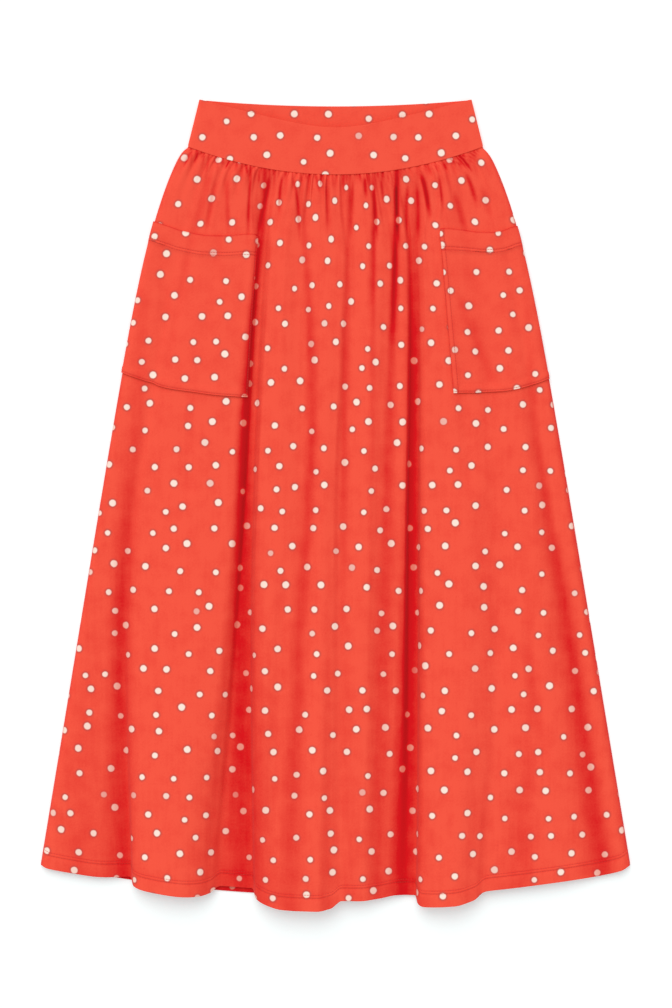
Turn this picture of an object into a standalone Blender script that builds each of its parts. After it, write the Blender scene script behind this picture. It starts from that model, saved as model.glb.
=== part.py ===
"""An a-line skirt in jersey, unworn, lying flat on its back panel.

X runs across the skirt, +Y from the hem to the waist and +Z up from the surface that the skirt lies on. The
skirt is a tube: a front and a back panel, each gathered into half of the waistband, with two patch pockets
on the front. The back pieces lie flat. The front lies on them with air in it, in long soft flutes that grow
towards the hem. Each sewn piece is a wall of its own, and a seam is a small gap.
"""
import math

import bpy
import numpy as np

MM = 0.001

# Cloth: one layer of jersey, the doubled band, a turned hem, and the gap kept at every seam.
CLOTH = 1.2 * MM
BAND_CLOTH = 2.0 * MM
TURNED_CLOTH = 1.8 * MM
SEAM_GAP = 0.3 * MM

# Outline, laid flat. Places down the skirt are measured from the top corners of the waistband.
WAIST_HALF = 164.2 * MM
BAND_FOOT_HALF = 177.8 * MM
BAND_HEIGHT = 57.0 * MM
HEM_HALF = 356.0 * MM
SIDE_LENGTH = 865.0 * MM
HEM_CORNER = BAND_HEIGHT + SIDE_LENGTH
FLARE = 0.1655  # how much each half widens for each metre down, along the straight part of the side
HIP_DEFICIT = 30.0 * MM  # how far the gathered hip stays inside that straight line, at the seam
HIP_FADE = 82.0 * MM
TUCK = 5.0 * MM  # the last pinch of the side into the seam
TUCK_FADE = 5.0 * MM
SEAM_EDGE = 1.2 * MM  # the edge stitched into the seam, before the cloth swells out

# Curves of the edges: how much lower each is in the middle than at the sides.
FRONT_TOP_DIP = 34.5 * MM
FRONT_TOP_ROUNDING = 0.3
BACK_TOP_DIP = 7.7 * MM
FRONT_SEAM_DIP = 34.2 * MM
BACK_SEAM_DIP = 8.0 * MM
HEM_DIP = 38.7 * MM

# Front band, from the side to the middle: place as a share of the half width, height of the outer face over
# the foot of the side fold.
BAND_SECTION = (
    # place, height in mm
    (1.000, 2.4),
    (0.978, 4.3),
    (0.900, 5.0),
    (0.550, 6.8),
    (0.000, 8.0),
)
BAND_COLUMNS = 41  # across the front band, between its two side folds, closer together near them
BAND_CROWDING = 1.35
BACK_BAND_COLUMNS = 23
BAND_ROWS = (0.0, 0.25, 0.5, 0.75, 0.96, 1.0)  # shares of the band's height; its sides are upright past 0.96

# Gathers: each of the front's runs down between two neighbouring places of the fold table.
FRONT_GATHERS = 42
BACK_GATHERS = 32
GATHER_HEIGHT = (1.5 * MM, 2.8 * MM)
GATHER_LENGTH = (16.0 * MM, 55.0 * MM)
DEEP_FOLD_GATHER_LENGTH = 14.0 * MM
DEEP_FOLDS = ((10, 13), (29, 32))
GATHER_SEED = 7
GATHER_CROWDING = 0.12  # closer together in the middle than at the sides
SIDE_FOOT = 0.6 * MM  # the side seam's edge lies this far over the back panel and its gap
SIDE_WALL = 2.0 * MM  # the upright fold of the side, at the seam
SEAM_RISE = 0.95  # the gathered edge has this share of the band's rise, and lies a little under its face
SEAM_WAVE = 0.4  # and has this share of the gathers' height
PUFF_LENGTH = 5.0 * MM  # the gathered cloth swells out over this length
SINK_LENGTH = 20.0 * MM  # and sinks into the deep folds over this one
BACK_GATHER_HEIGHT = 1.2 * MM
BACK_GATHER_LENGTH = 22.0 * MM
BACK_GATHER_CLEAR = 0.12  # the outer share of the back's half width, over which its gathers fade out
SETTLE_PLACES = (0.0, 0.03, 0.115)  # shares of the side's length at which the front's even gathers
SETTLED = (0.0, 0.1, 1.0)  # have run together into its long folds by these shares

# Long folds of the front, left to right. "gather" is the place among the gathers, x is a share of the half
# width, height is in mm over cloth that lies flat on the back panel, and drop is how far the hem hangs out
# below the back's, in mm. Each is given near the waist, half way down and at the hem.
FOLD_LEVELS = (0.073, 0.493, 1.0)
FOLDS = (
    # name,                gather, x waist, x middle, x hem, height waist, middle, hem, drop
    ("left seam",                 0, -1.000, -1.000, -1.000, -0.6, -0.6, -0.5,  0.5),
    ("left side wall",            1, -0.995, -0.996, -0.996,  1.4,  1.4,  2.0,  0.5),
    ("left side roll",            2, -0.960, -0.972, -0.970,  3.8,  3.8,  5.5,  3.5),
    ("left field",                3, -0.900, -0.905, -0.820,  4.0,  4.5,  6.5,  2.0),
    ("left hollow",               4, -0.850, -0.862, -0.698,  4.0,  3.4,  0.9, -4.0),
    ("flute 1 left lip",          5, -0.790, -0.830, -0.682,  5.0,  6.5, 11.0,  4.5),
    ("flute 1 left shoulder",     6, -0.720, -0.760, -0.650,  6.0,  9.0, 18.0,  7.0),
    ("flute 1 crest",             8, -0.570, -0.570, -0.535,  6.5, 11.0, 22.0,  8.5),
    ("flute 1 right shoulder",    9, -0.462, -0.450, -0.470,  7.5, 10.5, 17.5,  7.0),
    ("flute 1 right lip",        10, -0.430, -0.406, -0.428,  5.5,  6.0,  9.0,  3.0),
    ("left valley left foot",    11, -0.410, -0.385, -0.385,  2.5,  0.8,  1.2, -6.0),
    ("left valley right foot",   12, -0.390, -0.360, -0.285,  2.5,  0.8,  0.8, -6.0),
    ("flute 2 left lip",         13, -0.366, -0.344, -0.268,  6.0,  7.5, 11.5,  4.5),
    ("flute 2 left shoulder",    14, -0.345, -0.330, -0.238,  8.0, 12.0, 19.5,  9.5),
    ("flute 2 left crest",       15, -0.285, -0.250, -0.185,  8.5, 14.5, 23.5, 14.0),
    ("flute 2 crease",           17, -0.190, -0.135, -0.125,  6.0, 11.0, 23.0, 15.0),
    ("flute 2 right crest",      19, -0.065, -0.060, -0.065,  8.5, 14.0, 24.0, 15.0),
    ("flute 2 right lip",        21,  0.045, -0.012, -0.022,  7.5, 12.0, 17.5, 12.0),
    ("flute 2 right foot",       22,  0.085,  0.020,  0.020,  5.0,  9.0, 14.5,  4.0),
    ("middle swell",             25,  0.215,  0.130,  0.085,  8.0, 11.0, 14.0,  4.5),
    ("middle crease",            28,  0.350,  0.216,  0.150,  3.6,  6.5,  8.0,  3.0),
    ("small swell",              29,  0.390,  0.292,  0.202,  7.0,  8.5,  5.0,  0.5),
    ("right valley left foot",   30,  0.420,  0.315,  0.246,  4.5,  0.8,  0.8,  1.5),
    ("right valley right foot",  31,  0.440,  0.346,  0.270,  4.5,  0.8,  1.0,  2.5),
    ("flute 3 left lip",         32,  0.464,  0.363,  0.282,  6.0,  8.0, 11.5,  8.5),
    ("flute 3 left shoulder",    33,  0.495,  0.388,  0.300,  8.0, 12.0, 18.5, 13.0),
    ("flute 3 crest",            35,  0.573,  0.530,  0.400,  8.5, 13.0, 22.5, 15.0),
    ("flute 3 slope",            36,  0.660,  0.620,  0.465,  7.0, 10.5, 15.5, 11.5),
    ("right hollow",             37,  0.760,  0.710,  0.515,  5.5,  7.0, 10.5,  3.0),
    ("right swell",              38,  0.860,  0.830,  0.730,  6.0,  8.5, 10.5,  4.0),
    ("right side hollow",        39,  0.925,  0.910,  0.900,  3.5,  3.0,  4.0,  6.5),
    ("right side roll",          40,  0.960,  0.970,  0.965,  3.8,  4.5,  6.0,  5.5),
    ("right side wall",          41,  0.995,  0.996,  0.996,  1.4,  1.4,  2.0,  0.5),
    ("right seam",               42,  1.000,  1.000,  1.000, -0.6, -0.6, -0.5,  0.5),
)
FIRST_GATHER = 2
LAST_GATHER = 40
SIDE_ROLL = 0.960  # where the last gather ends at the seam, as a share of the half width

# Columns of the panels to each gather, next to the seam; there are half as many further down. Rows are
# measured down from the waist seam along the side.
FRONT_COLUMNS = 4
BACK_COLUMNS = 2
POCKET_COLUMNS = 2
GATHER_ROWS = (0.0, SEAM_EDGE / MM, 5.0, 10.0, 18.0, 30.0, 46.0)
POCKET_TOP_ROW = 93.4
POCKET_FOOT_ROW = 275.8
HEM_TURN = 18.0  # height of the turned hem, whose doubled cloth begins within the step
HEM_STEP = 1.5
LONG_ROWS = (64.0, POCKET_TOP_ROW, 125.0, 160.0, 200.0, 240.0, POCKET_FOOT_ROW, 330.0, 390.0, 455.0, 520.0,
             585.0, 650.0, 710.0, 765.0, 815.0)
BACK_GATHER_ROWS = (0.0, 8.0, 20.0, 36.0)
BACK_LONG_ROWS = (60.0, 120.0, 240.0, 360.0, 480.0, 600.0, 720.0, 810.0)

# Pockets: each lies between two places of the fold table, from the side to its inner edge.
POCKETS = (
    # name, first gather, last gather
    ("pocket_left", 1, 10),
    ("pocket_right", 35, 41),
)
POCKET_HEM = 23.0
POCKET_HEM_STEP = 1.5

# The front's cloth lies a little lower on the right, and a pull at each pocket's inner corner lifts it.
ROW_TILT = 3.6 * MM
CORNER_LIFTS = (
    # share across, mm down, lift in mm, reach across (share), reach down in mm
    (-0.430, 93.0, 11.0, 0.20, 55.0),
    (0.560, 93.0, 17.0, 0.24, 60.0),
    (0.545, 276.0, 7.5, 0.16, 60.0),
)

CLOTH_COLOUR = "#F0523F"
CLOTH_ROUGHNESS = 0.85


def linear(hex_colour):
    """One sRGB hex colour as linear red, green, blue and full alpha."""
    shares = [int(hex_colour[i:i + 2], 16) / 255 for i in (1, 3, 5)]
    return [s / 12.92 if s <= 0.04045 else ((s + 0.055) / 1.055) ** 2.4 for s in shares] + [1.0]


def smooth_through(places, values, at):
    """Values at `at` on the smooth curve through (places, values) that never overshoots between two of them.

    It is a cubic between each two places. Its slope at a place is the weighted harmonic mean of the slopes
    of the two straight lines that meet there, and nought at a crest or a foot.
    """
    places = np.asarray(places, float)
    values = np.asarray(values, float)
    at = np.clip(at, places[0], places[-1])
    run = np.diff(places)
    rise = np.diff(values) / run
    slope = np.zeros(len(places))
    before, after = rise[:-1], rise[1:]
    same_way = before * after > 0
    near, far = 2 * run[1:] + run[:-1], run[1:] + 2 * run[:-1]
    safe_before = np.where(same_way, before, 1.0)
    safe_after = np.where(same_way, after, 1.0)
    slope[1:-1] = np.where(same_way, (near + far) / (near / safe_before + far / safe_after), 0.0)
    slope[0], slope[-1] = rise[0], rise[-1]
    i = np.clip(np.searchsorted(places, at, side="right") - 1, 0, len(run) - 1)
    t = (at - places[i]) / run[i]
    return ((1 + 2 * t) * (1 - t) ** 2 * values[i] + t * (1 - t) ** 2 * run[i] * slope[i]
            + t * t * (3 - 2 * t) * values[i + 1] + t * t * (t - 1) * run[i] * slope[i + 1])


def half_width(down):
    """Half the skirt's flat width, `down` metres below the band's top corners: a straight flare, less the
    hip's deficit, which fades down from the seam, less the short tuck into the seam."""
    below_seam = max(down - BAND_HEIGHT - SEAM_EDGE, 0)
    straight = HEM_HALF - FLARE * (HEM_CORNER - down)
    hip = HIP_DEFICIT * math.exp(-below_seam / HIP_FADE)
    return straight - hip - TUCK * math.exp(-below_seam / TUCK_FADE)


def front_top(share):
    """How far the front band's top edge lies below the corners: a hyperbola, rounded in the middle."""
    k = FRONT_TOP_ROUNDING
    rise = (np.sqrt(share ** 2 + k * k) - k) / (math.sqrt(1 + k * k) - k)
    return FRONT_TOP_DIP * (1 - rise)


def parabola(dip, share):
    """An edge that dips by `dip` in the middle and not at the sides."""
    return dip * (1 - share ** 2)


def band_face(share):
    """Height of the front band's outer face, from the side fold (share 1 or -1) to the middle."""
    places = [1 - p for p, _ in BAND_SECTION]
    heights = [h * MM for _, h in BAND_SECTION]
    return BAND_CLOTH + SEAM_GAP + smooth_through(places, heights, 1 - np.abs(share))


def gather_shares(gather):
    """Place at the seam, as a share of the half width, of each place of the fold table."""
    even = np.clip(2 * (gather - FIRST_GATHER) / (LAST_GATHER - FIRST_GATHER) - 1, -1, 1)
    crowded = even + GATHER_CROWDING * (even ** 3 - even)
    past = np.maximum(FIRST_GATHER - gather, gather - LAST_GATHER)
    round_side = np.clip(past, 0, FIRST_GATHER) / FIRST_GATHER
    return SIDE_ROLL * crowded + np.sign(even) * (1 - SIDE_ROLL) * (1 - (1 - round_side) ** 3)


def gather_sizes():
    """Height and length of each gather of the front, uneven as gathers are."""
    rng = np.random.default_rng(GATHER_SEED)
    heights = rng.uniform(*GATHER_HEIGHT, FRONT_GATHERS)
    lengths = rng.uniform(*GATHER_LENGTH, FRONT_GATHERS)
    heights[:FIRST_GATHER] = 0
    heights[LAST_GATHER:] = 0
    for first, last in DEEP_FOLDS:
        lengths[first:last] = DEEP_FOLD_GATHER_LENGTH
    return heights, lengths


def front_face(gather, below):
    """Points on the front panel's outer face, at the places `gather` across and `below` metres down."""
    v = below / SIDE_LENGTH
    columns = list(zip(*FOLDS))
    knots = columns[1]
    shares = [smooth_through(FOLD_LEVELS, row[2:5], v) for row in FOLDS]
    heights = [smooth_through(FOLD_LEVELS, row[5:8], v) for row in FOLDS]
    fold_share = smooth_through(knots, shares, gather)
    settle = smooth_through(SETTLE_PLACES, SETTLED, v)
    share = (1 - settle) * gather_shares(gather) + settle * fold_share
    half = half_width(BAND_HEIGHT + below)

    seam = BAND_HEIGHT + SEAM_GAP + parabola(FRONT_SEAM_DIP, gather_shares(gather))
    drop = smooth_through(knots, columns[8], gather) * MM
    hem = HEM_CORNER + parabola(HEM_DIP, smooth_through(knots, columns[4], gather)) + drop
    down = seam + v * (hem - seam) + ROW_TILT * share * math.sin(math.pi * math.sqrt(v))
    for place, level, lift, across, reach in CORNER_LIFTS:
        bump = np.exp(-((share - place) / across) ** 2 - ((below / MM - level) / reach) ** 2)
        down = down - lift * MM * bump * min(below / MM / level, 1) ** 2

    which = np.minimum(gather.astype(int), FRONT_GATHERS - 1)
    size, length = gather_sizes()
    wave = size[which] * np.sin(math.pi * gather) ** 2 * np.exp(-(below / length[which]) ** 2)
    flat = CLOTH + SEAM_GAP + CLOTH
    folded = flat + smooth_through(knots, heights, gather) * MM + wave
    side_wall = SIDE_WALL * np.clip(np.minimum(gather, FRONT_GATHERS - gather), 0, 1)
    under_band = SEAM_RISE * (band_face(share) - band_face(1.0))
    at_seam = CLOTH + SEAM_GAP + SIDE_FOOT + side_wall + under_band + SEAM_WAVE * wave
    loose = max(below - SEAM_EDGE, 0)
    swell = (1 - math.exp(-loose / PUFF_LENGTH)) * np.maximum(folded - at_seam, 0)
    sink = (1 - math.exp(-(loose / SINK_LENGTH) ** 2)) * np.minimum(folded - at_seam, 0)
    height = at_seam + swell + sink
    if below > SIDE_LENGTH - (HEM_TURN - HEM_STEP / 2) * MM:
        height = height + (TURNED_CLOTH - CLOTH)
    return np.stack([half * share, -down, height], axis=1)


def back_face(across, below):
    """Points on the back panel's upper face, at the places `across` (0 to 1) and `below` metres down."""
    v = below / SIDE_LENGTH
    share = 2 * across - 1
    half = half_width(BAND_HEIGHT + below)
    seam = BAND_HEIGHT + SEAM_GAP + parabola(BACK_SEAM_DIP, share)
    hem = HEM_CORNER + parabola(HEM_DIP, share)
    wave = np.sin(math.pi * across * BACK_GATHERS) ** 2 * math.exp(-(below / BACK_GATHER_LENGTH) ** 2)
    clear = np.clip((1 - np.abs(share)) / BACK_GATHER_CLEAR, 0, 1)
    height = CLOTH + BACK_GATHER_HEIGHT * wave * clear
    return np.stack([half * share, -(seam + v * (hem - seam)), height], axis=1)


def loft(rows):
    """A surface through rows of points, left to right and top to bottom, as a mesh with its faces up.

    Two rows of the same length are joined by quads. Where a row has half the steps of the one above it, each
    of its steps takes two of theirs, in three triangles.
    """
    mesh = bpy.data.meshes.new("loft")
    points = np.concatenate(rows)
    starts = np.cumsum([0] + [len(row) for row in rows])
    faces = []
    for upper, lower, above, below in zip(rows[:-1], rows[1:], starts[:-1], starts[1:]):
        if len(upper) == len(lower):
            for i in range(len(upper) - 1):
                faces.append((above + i, below + i, below + i + 1, above + i + 1))
            continue
        for i in range(len(lower) - 1):
            a, b = above + 2 * i, below + i
            faces.append((a, b, a + 1))
            faces.append((a + 1, b, b + 1))
            faces.append((a + 1, b + 1, a + 2))
    mesh.from_pydata(points.tolist(), [], [tuple(int(i) for i in face) for face in faces])
    return mesh


def cloth_piece(name, rows, wall, outward, thinner=None):
    """One piece of cloth: the loft through its rows, given its wall by Solidify, outward or inward.

    `thinner` gives each row's share of the full wall, where the cloth isn't equally thick all over.
    """
    mesh = loft(rows)
    mesh.name = name
    piece = bpy.data.objects.new(name, mesh)
    PARTS.objects.link(piece)
    for polygon in mesh.polygons:
        polygon.use_smooth = True
    solid = piece.modifiers.new("wall", "SOLIDIFY")
    solid.thickness = wall
    solid.offset = 1 if outward else -1
    solid.use_even_offset = False
    solid.use_quality_normals = True
    solid.use_rim = True
    if thinner is not None:
        group = piece.vertex_groups.new(name="wall")
        first = 0
        for row, share in zip(rows, thinner):
            group.add(list(range(first, first + len(row))), share, "REPLACE")
            first += len(row)
        solid.vertex_group = group.name
    mesh.materials.append(MATERIAL)
    return piece


def row_normals(rows):
    """Upward unit normals at the points of a grid of equal rows, from the steps to their neighbours."""
    grid = np.array(rows)
    along = np.gradient(grid, axis=1)
    downward = np.gradient(grid, axis=0)
    normal = np.cross(downward, along)
    return normal / np.linalg.norm(normal, axis=2, keepdims=True)


def band_half(v):
    """Half the band's width at the share v of its height."""
    return WAIST_HALF + min(v / BAND_ROWS[-2], 1) * (BAND_FOOT_HALF - WAIST_HALF)


def make_waistband_front():
    """The front half of the band: a strip between the dipped top edge and the curved waist seam."""
    spread = np.linspace(-1, 1, BAND_COLUMNS)
    share = np.sign(spread) * (1 - (1 - np.abs(spread)) ** BAND_CROWDING)
    share = np.concatenate([[-1], share, [1]])
    face = band_face(share)
    face[0] = face[-1] = BAND_CLOTH + SEAM_GAP
    rows = []
    for v in BAND_ROWS:
        half = band_half(v)
        top = front_top(share)
        seam = BAND_HEIGHT + parabola(FRONT_SEAM_DIP, share)
        rows.append(np.stack([half * share, -(top + v * (seam - top)), face], axis=1))
    cloth_piece("waistband_front", rows, BAND_CLOTH, outward=False)


def make_waistband_back():
    """The back half of the band, flat, with its inside up."""
    share = np.linspace(-1, 1, BACK_BAND_COLUMNS)
    rows = []
    for v in BAND_ROWS:
        half = band_half(v)
        top = parabola(BACK_TOP_DIP, share)
        seam = BAND_HEIGHT + parabola(BACK_SEAM_DIP, share)
        down = top + v * (seam - top)
        rows.append(np.stack([half * share, -down, np.full(len(share), BAND_CLOTH)], axis=1))
    cloth_piece("waistband_back", rows, BAND_CLOTH, outward=False)


def make_skirt_front():
    """The front panel: fine columns through the gathers, half as many below, and a thicker turned hem."""
    fine = np.linspace(0, FRONT_GATHERS, FRONT_COLUMNS * FRONT_GATHERS + 1)
    coarse = fine[::2]
    turn = SIDE_LENGTH / MM - HEM_TURN
    long_rows = LONG_ROWS + (turn, turn + HEM_STEP, SIDE_LENGTH / MM)
    rows = [front_face(fine, below * MM) for below in GATHER_ROWS]
    rows += [front_face(coarse, below * MM) for below in long_rows]
    plain = CLOTH / TURNED_CLOTH
    walls = [plain] * (len(rows) - 2) + [1, 1]
    cloth_piece("skirt_front", rows, TURNED_CLOTH, outward=False, thinner=walls)


def make_skirt_back():
    """The back panel, flat on the surface but for the low gathers at its seam."""
    fine = np.linspace(0, 1, BACK_COLUMNS * BACK_GATHERS + 1)
    rows = [back_face(fine, below * MM) for below in BACK_GATHER_ROWS]
    rows += [back_face(fine[::2], below * MM) for below in BACK_LONG_ROWS + (SIDE_LENGTH / MM,)]
    cloth_piece("skirt_back", rows, CLOTH, outward=False)


def make_pocket(name, first, last):
    """A patch pocket: the front panel's own points between two folds, moved out, with a thicker top hem."""
    gather = np.linspace(first, last, POCKET_COLUMNS * (last - first) + 1)
    levels = [row for row in LONG_ROWS if POCKET_TOP_ROW <= row <= POCKET_FOOT_ROW]
    panel = [front_face(gather, below * MM) for below in levels]
    normals = row_normals(panel)
    lifted = [row + normal * SEAM_GAP for row, normal in zip(panel, normals)]
    rows = [lifted[0]]
    walls = [1]
    step = levels[1] - levels[0]
    for below, wall in ((POCKET_HEM, 1), (POCKET_HEM + POCKET_HEM_STEP, CLOTH / TURNED_CLOTH)):
        part_way = below / step
        rows.append((1 - part_way) * lifted[0] + part_way * lifted[1])
        walls.append(wall)
    rows += lifted[1:]
    walls += [CLOTH / TURNED_CLOTH] * (len(lifted) - 1)
    cloth_piece(name, rows, TURNED_CLOTH, outward=True, thinner=walls)


def centre_parts():
    """Move every point so that the origin is under the middle of the skirt, on the surface it lies on."""
    points = np.array([v.co for piece in PARTS.objects for v in piece.data.vertices])
    middle = (points.min(axis=0) + points.max(axis=0)) / 2
    for piece in PARTS.objects:
        for v in piece.data.vertices:
            v.co.x -= middle[0]
            v.co.y -= middle[1]


for old in list(bpy.data.objects):
    bpy.data.objects.remove(old)

PARTS = bpy.data.collections.new("a_line_skirt")
bpy.context.scene.collection.children.link(PARTS)

MATERIAL = bpy.data.materials.new("printed_jersey")
MATERIAL.use_nodes = True
SHADER = MATERIAL.node_tree.nodes["Principled BSDF"]
SHADER.inputs["Base Color"].default_value = linear(CLOTH_COLOUR)
SHADER.inputs["Roughness"].default_value = CLOTH_ROUGHNESS
SHADER.inputs["Metallic"].default_value = 0.0

make_waistband_front()
make_waistband_back()
make_skirt_front()
make_skirt_back()
for pocket in POCKETS:
    make_pocket(*pocket)
centre_parts()
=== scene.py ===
"""An a-line skirt of printed cotton jersey, unworn, lying flat with its front up, seen from straight above.

Lengths are in metres. X runs across the skirt, +Y from the hem to the waist and +Z up from the table that it
lies on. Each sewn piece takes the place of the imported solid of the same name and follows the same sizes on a
finer grid. Places down the skirt are measured from the top corners of the waistband.
"""

import math

import bpy
import numpy as np
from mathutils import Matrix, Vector


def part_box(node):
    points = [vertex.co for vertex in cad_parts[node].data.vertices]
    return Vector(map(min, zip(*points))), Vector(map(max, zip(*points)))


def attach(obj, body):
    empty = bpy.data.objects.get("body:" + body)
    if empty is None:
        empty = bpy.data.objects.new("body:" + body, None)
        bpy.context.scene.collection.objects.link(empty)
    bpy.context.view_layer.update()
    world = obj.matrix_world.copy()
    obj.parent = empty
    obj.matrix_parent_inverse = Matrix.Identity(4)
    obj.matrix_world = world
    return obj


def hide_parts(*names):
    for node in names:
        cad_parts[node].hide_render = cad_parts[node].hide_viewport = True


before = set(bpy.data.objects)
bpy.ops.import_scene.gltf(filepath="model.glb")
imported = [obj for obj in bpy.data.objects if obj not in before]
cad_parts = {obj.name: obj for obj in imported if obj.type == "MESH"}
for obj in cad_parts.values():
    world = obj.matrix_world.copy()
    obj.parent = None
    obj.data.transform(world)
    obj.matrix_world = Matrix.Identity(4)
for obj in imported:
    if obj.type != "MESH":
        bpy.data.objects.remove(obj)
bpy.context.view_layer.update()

# Table, light and camera. The skirt lies on a plain white table. A wide soft light stands on the waist side,
# a little to the left, so each flute shades the valley on its right and the hem throws a short soft shadow.
MM = 0.001
PICTURE_HEIGHT = 1008
PIXEL = 1.209 * MM  # one pixel of the picture, on the table
CAMERA_HEIGHT = 2.4
CAMERA_PLACE = (0.00065, -0.00025)  # over the middle of the skirt, but for half a pixel
SENSOR = 36.0
TABLE_HALF = 60.0
TABLE_DROP = 0.2 * MM
TABLE_WHITE = "#F0F0EF"
TABLE_ROUGHNESS = 0.9
TABLE_GLOSS = 0.2
TABLE_GLOW = 0.26  # light that the table gives off by itself, so that the skirt's shadow stays soft
TABLE_GLOW_TINT = "#DAF6F8"  # and neutral, though red light comes back from the cloth
SKY_WHITE = "#FFFFFF"
SKY_STRENGTH = 0.66
WINDOW_DIRECTION = (-0.4, 1.35, 1.45)  # towards the light
WINDOW_STRENGTH = 1.44
WINDOW_WIDTH = math.radians(52)  # how wide the light looks from the skirt


def linear(hex_colour):
    """One sRGB hex colour as linear red, green, blue and full alpha."""
    shares = [int(hex_colour[i:i + 2], 16) / 255 for i in (1, 3, 5)]
    return [s / 12.92 if s <= 0.04045 else ((s + 0.055) / 1.055) ** 2.4 for s in shares] + [1.0]


def set_sockets(tree, node, inputs):
    """Give each socket that `inputs` names a value, a hex colour, or a link from the output that feeds it."""
    for socket, value in inputs.items():
        if isinstance(value, bpy.types.NodeSocket):
            tree.links.new(value, node.inputs[socket])
        else:
            node.inputs[socket].default_value = linear(value) if isinstance(value, str) else value


def add_node(tree, kind, inputs, **settings):
    """Add a shader node. `settings` are its own properties, and `inputs` are its sockets, as above."""
    node = tree.nodes.new("ShaderNode" + kind)
    for name, value in settings.items():
        setattr(node, name, value)
    set_sockets(tree, node, inputs)
    return node


def grid_mesh(name, points, uv=None, red=None):
    """A mesh on a grid of points, rows x columns x 3, with its faces up where rows go down and columns right.
    `uv` is each point's place in metres of cloth, and `red` is its painted shade, stored as the painted shade
    attribute."""
    rows, columns = points.shape[:2]
    index = np.arange(rows * columns).reshape(rows, columns)
    corners = (index[:-1, :-1], index[1:, :-1], index[1:, 1:], index[:-1, 1:])
    faces = np.stack([corner.ravel() for corner in corners], axis=1)
    mesh = bpy.data.meshes.new(name)
    mesh.from_pydata(points.reshape(-1, 3), [], faces)
    mesh.polygons.foreach_set("use_smooth", np.ones(len(faces), bool))
    if uv is not None:
        layer = mesh.uv_layers.new(name="cloth")
        layer.data.foreach_set("uv", uv.reshape(-1, 2)[faces.ravel()].ravel())
        attribute = mesh.attributes.new("painted_fold_shade", "FLOAT", "POINT")
        attribute.data.foreach_set("value", np.broadcast_to(red, (rows, columns)).ravel().astype(np.float32))
    return mesh


def shown(name, mesh, material, node=None):
    """The object of a finished mesh, on the skirt's body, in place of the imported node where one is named."""
    piece = bpy.data.objects.new(name, mesh)
    bpy.context.scene.collection.objects.link(piece)
    mesh.materials.append(material)
    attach(piece, "root")
    if node:
        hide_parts(node)
    return piece


table_paint = bpy.data.materials.new("matt_white_table")
table_paint.use_nodes = True
set_sockets(table_paint.node_tree, table_paint.node_tree.nodes["Principled BSDF"], {
    "Base Color": TABLE_WHITE, "Roughness": TABLE_ROUGHNESS, "Specular IOR Level": TABLE_GLOSS,
    "Emission Color": TABLE_GLOW_TINT, "Emission Strength": TABLE_GLOW})
side = np.array([-TABLE_HALF, TABLE_HALF])
across, up = np.meshgrid(side, side[::-1])
table_top = grid_mesh("table", np.stack([across, up, np.full((2, 2), -TABLE_DROP)], axis=2))
table_top.materials.append(table_paint)
table = bpy.data.objects.new("table", table_top)
bpy.context.scene.collection.objects.link(table)

sky = bpy.data.worlds.new("even_white_room")
sky.use_nodes = True
set_sockets(sky.node_tree, sky.node_tree.nodes["Background"], {"Color": SKY_WHITE, "Strength": SKY_STRENGTH})
bpy.context.scene.world = sky
bpy.context.scene.view_settings.view_transform = "Standard"

window = bpy.data.lights.new("window", "SUN")
window.energy = WINDOW_STRENGTH
window.angle = WINDOW_WIDTH
window_lamp = bpy.data.objects.new("window", window)
window_lamp.location = WINDOW_DIRECTION
window_lamp.rotation_euler = Vector(WINDOW_DIRECTION).to_track_quat("Z", "Y").to_euler()
bpy.context.scene.collection.objects.link(window_lamp)

camera_data = bpy.data.cameras.new("camera")
camera_data.sensor_width = SENSOR
camera_data.lens = SENSOR * CAMERA_HEIGHT / (PICTURE_HEIGHT * PIXEL)
camera = bpy.data.objects.new("camera", camera_data)
camera.location = (*CAMERA_PLACE, CAMERA_HEIGHT)
bpy.context.scene.collection.objects.link(camera)
bpy.context.scene.camera = camera

# Cloth of the whole skirt: single jersey in cotton with a little elastane, dyed red, screen printed with
# cream spots in staggered rows. It is matt, with a faint down. The shade in its folds, creases and seams is
# painted into its colour as a deeper, purer red.
CLOTH_LIT = "#F8553F"
# painted shade: the deeper red that the cloth is given in its folds and creases
CLOTH_PAINTED_SHADE = "#DA0A14"
CLOTH_PAINTED_DARKEST = "#7C0604"  # painted shade at the bottom of the narrowest creases, where the painted shade attribute is two
SPOT_LIT = "#FFE8D9"
# painted shade: the spots' colour in the folds
SPOT_PAINTED_SHADE = "#E8806C"
SPOT_RING = "#CC4E42"  # the damp edge that the ink leaves round each spot
SPOT_RADIUS = 4.15 * MM
SPOT_SMALLER = 1.0 * MM  # how much smaller than that the smallest are
SPOT_EDGE = 0.8 * MM
SPOT_RAGGED = 0.45 * MM
SPOT_RING_REACH = 3.6 * MM
SPOT_PITCH = 42.0 * MM  # along a row
SPOT_ROW = 24.5 * MM
SPOT_SHIFT = 0.57  # each row starts this share of a pitch along from the one above
SPOT_UNEVEN = 0.54
FULL_INK = 0.9  # this share of the spots is printed fully
THIN_INK = 0.45  # and the palest of the rest shows this share of its colour
JERSEY_ROUGHNESS = 0.82
JERSEY_GLOSS = 0.15
DOWN_WEIGHT = 0.06
DOWN_ROUGHNESS = 0.5
WALE = 1.7 * MM  # the real wales are 0.7 mm apart, drawn coarser so that they show
WALE_HEIGHT = 0.15 * MM
WALE_STRENGTH = 0.25
WALE_WANDER = {"Distortion": 1.5, "Detail": 1.0, "Detail Scale": 2.0}
WAVE_PITCH = math.pi / 10  # between the bands of a wave texture at scale one
MOTTLE = 22.0 * MM
MOTTLE_NOISE = (0.3, 0.7)  # the noise between these gives the mottle's red
MOTTLE_RED = (-0.09, 0.18)
FLECK = 2.2 * MM
FLECK_RED = 0.38
STREAK = (5.5 * MM, 70.0 * MM)  # faint lines that the gathers' pull leaves down the cloth: apart and long
STREAK_RED = 0.30
STREAK_RED_FLAT = 0.12  # where the cloth is sewn on flat
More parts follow.
